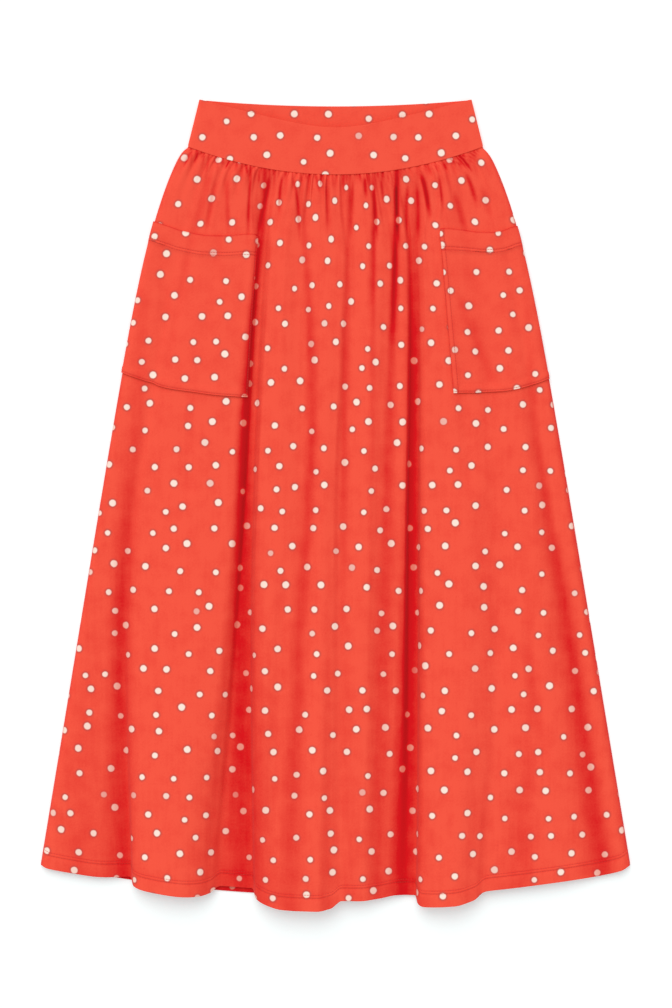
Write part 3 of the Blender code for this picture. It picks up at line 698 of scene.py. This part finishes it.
def upward(points):
    """Unit normals at a grid's points, from the steps to their neighbours."""
    normal = np.cross(np.gradient(points, axis=0), np.gradient(points, axis=1))
    return normal / np.linalg.norm(normal, axis=2, keepdims=True)


def shaded(points):
    """Painted shade where a fold's side faces away from the light."""
    return FACING_AWAY_PAINTED_SHADE * np.clip(upward(points) @ np.array(SHADE_SIDE) - SHADE_START, 0, 1)


def sheltered(points):
    """Painted shade in the lee of the folds. It grows with the steepness of the steepest line of sight along
    the row from a point to the cloth on its left, and less so on its right."""
    x, z = points[:, :, 0], points[:, :, 2]
    left = np.zeros(x.shape)
    right = np.zeros(x.shape)
    for step in range(1, LEE_COLUMNS + 1):
        slope = (z[:, :-step] - z[:, step:]) / np.maximum(x[:, step:] - x[:, :-step], LEAST_STEP)
        left[:, step:] = np.maximum(left[:, step:], slope)
        right[:, :-step] = np.maximum(right[:, :-step], -slope)
    steepness = [np.arctan(skyline) / (math.pi / 2) for skyline in (left, right)]
    return np.maximum(*(red * np.clip((steep - LEE_START) / (LEE_FULL - LEE_START), 0, 1)
                        for red, steep in zip(LEE_PAINTED_SHADE, steepness)))


def front_surface(gather, below):
    """Points, rows x columns x 3, on the front panel's outer face, and the painted shade there.

    `gather` is the place across among the gathers and `below` the distance down the side seam. Across a row,
    the cloth follows the fold table, and near the seam it settles into even gathers, each a wave that fades
    down.
    """
    table = np.array([row[1:] for row in FOLDS])
    knots = table[:, 0]
    level_down = below / SIDE_LENGTH

    def across_folds(columns):
        """Three columns of the fold table, carried down the rows and then across them."""
        levels = smooth_through(FOLD_LEVELS, table[:, columns].T, level_down)
        return smooth_through(knots, levels.T, gather).T

    below = below[:, None]
    v = level_down[:, None]
    at_waist = gather_shares(gather)
    settled = smooth_through(*SETTLING, v)
    share = (1 - settled) * at_waist + settled * across_folds([1, 2, 3])
    half = half_width(BAND_HEIGHT + below)

    seam = BAND_HEIGHT - SEWN_IN + parabola(FRONT_SEAM_DIP, at_waist)
    drop = smooth_through(knots, table[:, 7], gather) * MM
    hem = HEM_CORNER + parabola(HEM_DIP, smooth_through(knots, table[:, 3], gather)) + drop
    down = seam + v * (hem - seam) + ROW_TILT * share * np.sin(math.pi * np.sqrt(v))
    for place, level, lift, reach_across, reach in CORNER_LIFTS:
        pull = bell(share - place, reach_across) * bell(below / MM - level, reach)
        down = down - lift * MM * pull * np.minimum(below / MM / level, 1) ** 2

    which = np.minimum(gather.astype(int), FRONT_GATHERS - 1)
    size, length = gather_sizes()
    sharp = 2 - GATHER_SHARPNESS * np.exp(-below / GATHERS_ROUND)
    wave = size[which] * np.abs(np.sin(math.pi * gather)) ** sharp * bell(below, length[which])
    folded = CLOTH + SEAM_GAP + CLOTH + across_folds([4, 5, 6]) * MM + wave
    x = half * share
    crease, crease_painted_shade = creased(x, down)
    tuck, tuck_painted_shade = tucks(x, below)
    pinch, pinch_painted_shade = pinches(gather, below)
    ripple, ripple_painted_shade = ripples(gather, below)
    seam_crease, seam_crease_painted_shade = seam_creased(x, down)
    from_seam = tuck + pinch + seam_crease
    folded = folded + (crease + ripple + from_seam) * room_to_sink(folded)
    side_wall = SIDE_WALL * np.clip(np.minimum(gather, FRONT_GATHERS - gather), 0, 1)
    under_band = SEAM_RISE * (band_face(share) - band_face(np.array(1.0)))
    at_seam = CLOTH + SEAM_GAP + SIDE_FOOT + side_wall + under_band + SEAM_WAVE * wave
    loose = np.maximum(below - SEAM_EDGE, 0)
    in_seam = np.exp(-loose / PUFF_LENGTH)
    swell = (1 - in_seam) * np.maximum(folded - at_seam, 0)
    sink = (1 - bell(loose, SINK_LENGTH)) * np.minimum(folded - at_seam, 0)
    height = at_seam + swell + sink + CREASED_IN_SEAM * from_seam * in_seam * room_to_sink(at_seam)

    above_hem = SIDE_LENGTH - below
    turned = np.clip((HEM_STITCH_ROWS[1] + TURNING_PAST_ROWS - above_hem) / TURNING_STEP, 0, 1)
    grooves = in_grooves(above_hem, HEM_STITCH_ROWS)
    height = height + (TURNED_CLOTH - CLOTH) * turned - STITCH_GROOVE * grooves

    # Painted shade: the valleys, lesser creases, ripples, the seam, stitch grooves, tucks, pinches and side
    # seams.
    red = painted_valley_shade(x, down) + crease_painted_shade + ripple_painted_shade
    red = red + IN_SEAM_PAINTED_SHADE * bell(below, IN_SEAM_REACH) + STITCH_GROOVE_PAINTED_SHADE * grooves
    at_side = SIDE_PAINTED_SHADE * bell(np.minimum(gather, FRONT_GATHERS - gather), SIDE_SHADE)
    for other_painted_shade in (tuck_painted_shade, pinch_painted_shade, seam_crease_painted_shade, at_side):
        red = np.maximum(red, other_painted_shade)
    return np.stack([x, TOP_Y - down, height], axis=2), np.clip(red, 0, FULL_PAINTED_SHADE)


def cloth_metres(points):
    """Place of each point in flat cloth, whose grain runs straight down: across, the length over the folds
    from the row's middle, and down, the distance from the waist."""
    step = np.diff(points, axis=1)
    u = np.cumsum(np.hypot(step[:, :, 0], step[:, :, 2]), axis=1)
    u = np.concatenate([np.zeros((len(points), 1)), u], axis=1)
    middle = points.shape[1] // 2
    u = u - u[:, middle:middle + 1] + points[:, middle:middle + 1, 0]
    return np.stack([u, TOP_Y - points[:, :, 1]], axis=2)


def gathered_metres(points, below):
    """The same for the front panel. Near the seam its cloth is drawn together in the gathers: more of it
    passes in each millimetre across, most in the middle, and single gathers don't count in the length."""
    metres = cloth_metres(points)
    x = points[:, :, 0]
    gathered = bell(below, GATHERS_EVEN)[:, None]
    drawn_in = IN_GATHERS * np.tanh(x / GATHERED_HALF) * np.exp(-below / GATHERED_FADE)[:, None]
    metres[:, :, 0] += gathered * (x - metres[:, :, 0]) + drawn_in
    return metres


def rows_down(count):
    """Distances down the side of a panel's rows of points: closer near the waist seam, and finest round the
    rows of stitches at the hem."""
    even = SIDE_LENGTH * np.linspace(0, 1, count) ** ROW_CROWDING
    fine = SIDE_LENGTH - np.array(HEM_FINE_ROWS) * MM
    return np.concatenate([even[even < fine[0] - FINE_ROWS_APART], fine, [SIDE_LENGTH]])


# Sewing thread: twisted polyester, dyed a little darker than the cloth, so a row shows as a fine dull line.
STITCH_PITCH = 3.2 * MM
STITCH_LENGTH = 2.7 * MM
THREAD_RADIUS = 0.22 * MM
# Rings of one stitch: place in half lengths, size and height in thread radii.
STITCH_FORM = np.array([(-1.0, 0.35, -0.6), (-0.7, 1.0, 0.5), (0.7, 1.0, 0.5), (1.0, 0.35, -0.6)])
STITCH_SIDES = 6
# Faces that close a stitch's ends: the ring, and its corners.
STITCH_ENDS = ((0, (0, 3, 2, 1)), (0, (0, 5, 4, 3)), (-1, (0, 1, 2, 3)), (-1, (0, 3, 4, 5)))
THREAD_RED = "#DC4432"
THREAD_SHADE = "#B02A1E"
THREAD_ROUGHNESS = 0.55
NEEDLE_STRIP = np.array([-0.3, 0, 0.3]) * MM  # three lines close together, sewn along the middle one


def stitch_row(path, up):
    """Points and faces of a row of stitches along a path over a surface whose normals are `up`. Each is a bar
    of rings round a centre line that rises out of the cloth and dips back into it."""
    run = np.concatenate([[0], np.cumsum(np.linalg.norm(np.diff(path, axis=0), axis=1))])
    middles = np.arange(STITCH_PITCH, run[-1] - STITCH_PITCH / 2, STITCH_PITCH)
    at = middles[:, None] + STITCH_FORM[:, 0] * STITCH_LENGTH / 2
    lines = np.concatenate([path, up, np.gradient(path, axis=0)], axis=1)
    frames = np.stack([np.interp(at, run, line) for line in lines.T], axis=2)
    centre, above, along = np.split(frames, 3, axis=2)
    beside = np.cross(above, along)
    beside = beside / np.linalg.norm(beside, axis=2, keepdims=True)
    turn = (np.arange(STITCH_SIDES) * 2 * math.pi / STITCH_SIDES)[:, None]
    ring = np.cos(turn) * beside[:, :, None] + np.sin(turn) * above[:, :, None]
    size, rise = (STITCH_FORM[:, column, None] * THREAD_RADIUS for column in (1, 2))
    points = (centre + above * rise)[:, :, None] + ring * size[:, None]
    corner = np.arange(points.size // 3).reshape(points.shape[:3])
    beyond = np.roll(corner, -1, axis=2)
    sides = np.stack([corner[:, :-1], beyond[:, :-1], beyond[:, 1:], corner[:, 1:]], axis=3).reshape(-1, 4)
    ends = [corner[:, end][:, order] for end, order in STITCH_ENDS]
    return points.reshape(-1, 3), np.concatenate([sides, *ends])


def sewn(name, rows):
    """One object of several rows of stitches in the dyed thread."""
    points, faces, count = [], [], 0
    for path, up in rows:
        row_points, row_faces = stitch_row(path, up)
        points.append(row_points)
        faces.append(row_faces + count)
        count += len(row_points)
    mesh = bpy.data.meshes.new(name)
    mesh.from_pydata(np.concatenate(points), [], np.concatenate(faces))
    mesh.polygons.foreach_set("use_smooth", np.ones(len(mesh.polygons), bool))
    return shown(name, mesh, sewing_thread)


sewing_thread = bpy.data.materials.new("dyed_polyester_thread")
sewing_thread.use_nodes = True
thread_tree = sewing_thread.node_tree
thread_place = add_node(thread_tree, "TexCoord", {}).outputs["Object"]
thread_twist = add_node(thread_tree, "TexNoise", {"Vector": thread_place, "Scale": 1 / THREAD_RADIUS,
                                                  "Detail": 1.0})
thread_colour = add_node(thread_tree, "Mix", {0: thread_twist.outputs["Fac"], 6: THREAD_RED, 7: THREAD_SHADE},
                         data_type="RGBA")
set_sockets(thread_tree, thread_tree.nodes["Principled BSDF"],
            {"Base Color": thread_colour.outputs[2], "Roughness": THREAD_ROUGHNESS})

EDGE_ROUNDING = 0.07 * MM
EDGE_ANGLE = math.radians(55)


def cloth_piece(name, points, metres, red, jersey, node, thickness):
    """A sheet of cloth: its outer face on `points`, a wall behind it, and its cut edges rounded a little."""
    piece = shown(name, grid_mesh(name, points, metres, red), jersey, node)
    solid = piece.modifiers.new("wall", "SOLIDIFY")
    solid.thickness = thickness
    solid.offset = -1
    solid.use_even_offset = False
    solid.use_quality_normals = True
    rounding = piece.modifiers.new("rounding", "BEVEL")
    rounding.width = EDGE_ROUNDING
    rounding.segments = 2
    rounding.limit_method = "ANGLE"
    rounding.angle_limit = EDGE_ANGLE
    return piece


HEM_SEWN_FROM = 0.6  # the hem's rows start and end this far in from the side seams, in gathers
HEM_PATH_POINTS = 900

gather = np.linspace(0, FRONT_GATHERS, FRONT_COLUMNS * FRONT_GATHERS + 1)
front_below = rows_down(FRONT_ROWS)
front_points, front_painted_shade = front_surface(gather, front_below)
# Painted shade in the lee of the folds and on their sides away from the light.
front_painted_shade = np.maximum(front_painted_shade, sheltered(front_points)) + shaded(front_points)
front_painted_shade = np.clip(front_painted_shade, 0, FULL_PAINTED_SHADE)
front_metres = gathered_metres(front_points, front_below)
front_panel = cloth_piece("front_panel", front_points, front_metres, front_painted_shade, front_jersey,
                          "skirt_front", SHELL)
hem_path = np.linspace(HEM_SEWN_FROM, FRONT_GATHERS - HEM_SEWN_FROM, HEM_PATH_POINTS)
hem_rows_sewn = []
for row in HEM_STITCH_ROWS:
    strip, _ = front_surface(hem_path, SIDE_LENGTH - row + NEEDLE_STRIP)
    hem_rows_sewn.append((strip[1], upward(strip)[1]))
hem_stitches = sewn("front_hem_stitches", hem_rows_sewn)

# Back panel: the same cut as the front, lying flat on the table with its right side down, gathered at its
# seam. Only its hem shows, in the gaps of the front's hem.
BACK_SEAM_DIP = 8.0 * MM
BACK_GATHERS = 32
BACK_GATHER_HEIGHT = 1.2 * MM
BACK_GATHER_LENGTH = 22.0 * MM
BACK_GATHER_CLEAR = 0.12  # the outer share of the half width without gathers
# painted shade over all of the back panel, which lies under the front
BACK_PAINTED_SHADE = 0.35
BACK_HEM_PAINTED_SHADE = 0.65  # more painted shade, under the front's hem
BACK_HEM_SHADE = 14.0 * MM
BACK_COLUMNS = 6  # to each gather
BACK_ROWS = 90
# Soft ridges that lift off the table under the front's flutes: place as a share of the half width at the
# waist and at the hem, half width in mm at the hem, height in mm, and the share of the way down where each is
# highest.
BACK_RIDGES = (
    # name, waist, hem, half width, height, highest
    ("under flute 1, left", -0.66, -0.60, 15.0, 1.4, 0.80),
    ("under flute 1, right", -0.52, -0.49, 11.0, 1.8, 0.65),
    ("under flute 2, left", -0.27, -0.19, 12.0, 2.0, 0.85),
    ("under flute 2, middle", -0.12, -0.12, 9.0, 1.3, 0.55),
    ("under flute 2, right", -0.03, -0.05, 13.0, 2.2, 0.90),
    ("middle", 0.17, 0.09, 8.0, 1.1, 0.60),
    ("under flute 3, left", 0.50, 0.31, 9.0, 1.7, 0.75),
    ("under flute 3, right", 0.60, 0.42, 14.0, 2.1, 0.85),
    ("right", 0.80, 0.74, 18.0, 1.2, 0.70),
)
RIDGE_AT_WAIST = 0.4  # its width there, as a share of the width at the hem
RIDGE_REACH = 0.38  # up and down from where it is highest, as a share of the side


def back_surface(across, below):
    """Points on the back panel's upper face: flat, with a row of even gathers that fade down from the seam
    and soft ridges further down, each a bell across its line and along it."""
    v = below[:, None] / SIDE_LENGTH
    share = 2 * across - 1
    half = half_width(BAND_HEIGHT + below)[:, None]
    seam = BAND_HEIGHT + SEAM_GAP + parabola(BACK_SEAM_DIP, share)
    hem = HEM_CORNER + parabola(HEM_DIP, share)
    wave = np.sin(math.pi * across * BACK_GATHERS) ** 2 * bell(below[:, None], BACK_GATHER_LENGTH)
    clear = np.clip((1 - np.abs(share)) / BACK_GATHER_CLEAR, 0, 1)
    height = CLOTH + BACK_GATHER_HEIGHT * wave * clear
    for _, waist, foot, width, rise, highest in BACK_RIDGES:
        off = (share - waist - (foot - waist) * v) * half
        reach = width * MM * (RIDGE_AT_WAIST + (1 - RIDGE_AT_WAIST) * v)
        height = height + rise * MM * bell(off, reach) * bell(v - highest, RIDGE_REACH)
    return np.stack([half * share, TOP_Y - (seam + v * (hem - seam)), height], axis=2)


back_jersey = printed_jersey("printed_jersey_back", (0.207, 0.113), STREAK_RED)
back_below = rows_down(BACK_ROWS)
back_points = back_surface(np.linspace(0, 1, BACK_COLUMNS * BACK_GATHERS + 1), back_below)
back_above_hem = (SIDE_LENGTH - back_below)[:, None]
back_grooves = in_grooves(back_above_hem, HEM_STITCH_ROWS)
# Painted shade: all of the back, its stitch grooves, and its hem under the front's hem.
back_painted_shade = BACK_PAINTED_SHADE + STITCH_GROOVE_PAINTED_SHADE * back_grooves + BACK_HEM_PAINTED_SHADE * bell(back_above_hem, BACK_HEM_SHADE)
back_panel = cloth_piece("back_panel", back_points, cloth_metres(back_points), back_painted_shade, back_jersey,
                         "skirt_back", CLOTH)

# Waistband: two halves of doubled jersey with elastic cloth inside, folded along the top edge. The front half
# dips and bows up over the back half, whose inside shows in the mouth.
WAIST_HALF = 164.2 * MM
FRONT_TOP_DIP = 34.5 * MM
FRONT_TOP_ROUNDING = 0.3
BACK_TOP_DIP = 7.7 * MM
BAND_COLUMNS = 180
COLUMN_CROWDING = 1.35  # columns are closer near the side folds
# Rows of points, as shares of the way from the top edge to the seam.
BAND_ROWS = (0, 0.01, 0.025, 0.05, 0.1, 0.18, 0.28, 0.4, 0.52, 0.64, 0.76, 0.86, 0.93, 0.965, 0.985, 1)
BAND_UPRIGHT = 0.96  # its sides are upright past this share of its height


def front_top(share):
    """How far the front band's top edge lies below its corners: a hyperbola, rounded in the middle."""
    k = FRONT_TOP_ROUNDING
    rise = (np.sqrt(share ** 2 + k * k) - k) / (math.sqrt(1 + k * k) - k)
    return FRONT_TOP_DIP * (1 - rise)


def band_surface(share, top, seam, face):
    """Points on a half band, between its top edge and its seam, at the height `face` across."""
    v = np.array(BAND_ROWS)[:, None]
    half = WAIST_HALF + np.minimum(v / BAND_UPRIGHT, 1) * (BAND_FOOT_HALF - WAIST_HALF)
    down = top + v * (seam - top)
    return np.stack([half * share, TOP_Y - down, np.broadcast_to(face, down.shape)], axis=2)


band_jersey = printed_jersey("printed_jersey_band", (0.131, 0.009), STREAK_RED_FLAT)
spread = np.linspace(-1, 1, BAND_COLUMNS + 1)
band_share = np.sign(spread) * (1 - (1 - np.abs(spread)) ** COLUMN_CROWDING)
band_share = np.concatenate([[-1], band_share, [1]])
front_face_height = band_face(band_share)
front_face_height[[0, -1]] = BAND_CLOTH + SEAM_GAP
front_seam = BAND_HEIGHT + parabola(FRONT_SEAM_DIP, band_share)
band_points = band_surface(band_share, front_top(band_share), front_seam, front_face_height)
band_front = cloth_piece("band_front", band_points, cloth_metres(band_points), 0, band_jersey,
                         "waistband_front", BAND_CLOTH)

back_seam = BAND_HEIGHT + parabola(BACK_SEAM_DIP, spread)
back_band_points = band_surface(spread, parabola(BACK_TOP_DIP, spread), back_seam, BAND_CLOTH)
band_back = cloth_piece("band_back", back_band_points, cloth_metres(back_band_points), 0, band_jersey,
                        "waistband_back", BAND_CLOTH)

# Patch pockets: a piece of jersey with its top turned down and stitched, sewn flat on the front panel round
# three sides, with the panel's own gathers and folds showing through.
POCKETS = (
    # name, node, first gather, last gather, inner edge, topstitch in from that edge (mm), gather's width
    # there (mm), cut's width and area (m), print's shift
    ("left_pocket", "pocket_left", 0.6, 10.0, 10.0, 1.8, 7.5, 0.165, 0.029, (0.301, 0.207)),
    ("right_pocket", "pocket_right", 35.0, 41.4, 35.0, 5.8, 20.0, 0.135, 0.0225, (0.417, 0.119)),
)
POCKET_TOP = 93.4 * MM
POCKET_FOOT = 275.8 * MM
POCKET_HEM_ROWS = (19.8 * MM, 23.0 * MM)
POCKET_FOOT_ROW = 1.8 * MM
POCKET_TURNING = 7.0 * MM
POCKET_TURNING_STEP = 1.0 * MM
POCKET_EDGE_REACH = 1.0 * MM
POCKET_EDGE_PAINTED_SHADES = (0.7, 0.1, 0.5)  # painted shade along its edges: at its top, its foot and its inner side
PANEL_SHADE_SHOWS = 0.85  # the share of the panel's painted shade that the pocket over it has
POCKET_ROWS = 60
POCKET_COLUMNS = 8  # to each gather
POCKET_PATH_POINTS = 300
NEAR_A_ROW = np.array([-1.6, -0.8, 0, 0.8, 1.6]) * MM  # fine lines of the grid, round a row of stitches
NEAR_AN_EDGE = np.array([0.8, 1.6]) * MM


for pocket_name, pocket_node, first, last, inner, topstitch, pitch, width, area, shift in POCKETS:
    def pocket_face(gather, below):
        """Points of the pocket's outer face and its painted shade: the panel's own points moved out by the
        cloth between, more where an edge is turned in, and less in the rows of stitches."""
        panel, panel_painted_shade = front_surface(gather, below)
        from_top = below[:, None] - POCKET_TOP
        from_foot = POCKET_FOOT - below[:, None]
        from_inner = np.abs(gather - inner) * pitch * MM + 0 * from_top
        past_turning = np.minimum(np.minimum(from_foot, from_inner) - POCKET_TURNING,
                                  from_top - POCKET_HEM_ROWS[1] - TURNING_PAST_ROWS)
        turned = 1 - np.clip(past_turning / POCKET_TURNING_STEP, 0, 1)
        grooves = in_grooves(from_top, POCKET_HEM_ROWS) + in_grooves(from_foot, [POCKET_FOOT_ROW])
        grooves = grooves + in_grooves(from_inner, [topstitch * MM]) * (from_top > 0)
        lift = SEAM_GAP + CLOTH + (TURNED_CLOTH - CLOTH) * turned - STITCH_GROOVE * grooves
        points = panel + upward(panel) * lift[:, :, None]
        # Painted shade: dark lines along the pocket's edges, its stitch grooves, the panel's painted shade,
        # and sides that face away from the light.
        edges = sum(edge_painted_shade * bell(away, POCKET_EDGE_REACH)
                    for edge_painted_shade, away in zip(POCKET_EDGE_PAINTED_SHADES, (from_top, from_foot, from_inner)))
        red = PANEL_SHADE_SHOWS * panel_painted_shade + STITCH_GROOVE_PAINTED_SHADE * grooves + edges + shaded(points)
        return points, np.clip(red, 0, FULL_PAINTED_SHADE)

    foot_row = POCKET_FOOT - POCKET_FOOT_ROW
    top_rows = [POCKET_TOP + row for row in POCKET_HEM_ROWS]
    fine_rows = [row + NEAR_A_ROW for row in (*top_rows, foot_row)] + [POCKET_TOP + NEAR_AN_EDGE]
    pocket_below = np.unique(np.concatenate([np.linspace(POCKET_TOP, POCKET_FOOT, POCKET_ROWS), *fine_rows]))
    inward = 1 if inner == first else -1
    topstitch_gather = inner + inward * topstitch / pitch
    gather_width = pitch * MM
    fine_columns = [topstitch_gather + NEAR_A_ROW / gather_width,
                    inner + inward * NEAR_AN_EDGE / gather_width]
    even_columns = np.linspace(first, last, int(POCKET_COLUMNS * (last - first)) + 1)
    pocket_gather = np.unique(np.clip(np.concatenate([even_columns, *fine_columns]), first, last))
    pocket_points, pocket_painted_shade = pocket_face(pocket_gather, pocket_below)
    pocket_jersey = printed_jersey("printed_jersey_" + pocket_name, shift, STREAK_RED_FLAT)
    pocket = cloth_piece(pocket_name, pocket_points, cloth_metres(pocket_points), pocket_painted_shade, pocket_jersey,
                         pocket_node, CLOTH)
    sewn_rows = []
    for row in (*top_rows, foot_row):
        strip, _ = pocket_face(np.linspace(first, last, POCKET_PATH_POINTS), row + NEEDLE_STRIP)
        sewn_rows.append((strip[1], upward(strip)[1]))
    strip, _ = pocket_face(topstitch_gather + NEEDLE_STRIP / gather_width,
                           np.linspace(POCKET_TOP, POCKET_FOOT, POCKET_PATH_POINTS))
    sewn_rows.append((strip[:, 1], upward(strip)[:, 1]))
    pocket_stitches = sewn(pocket_name + "_stitches", sewn_rows)
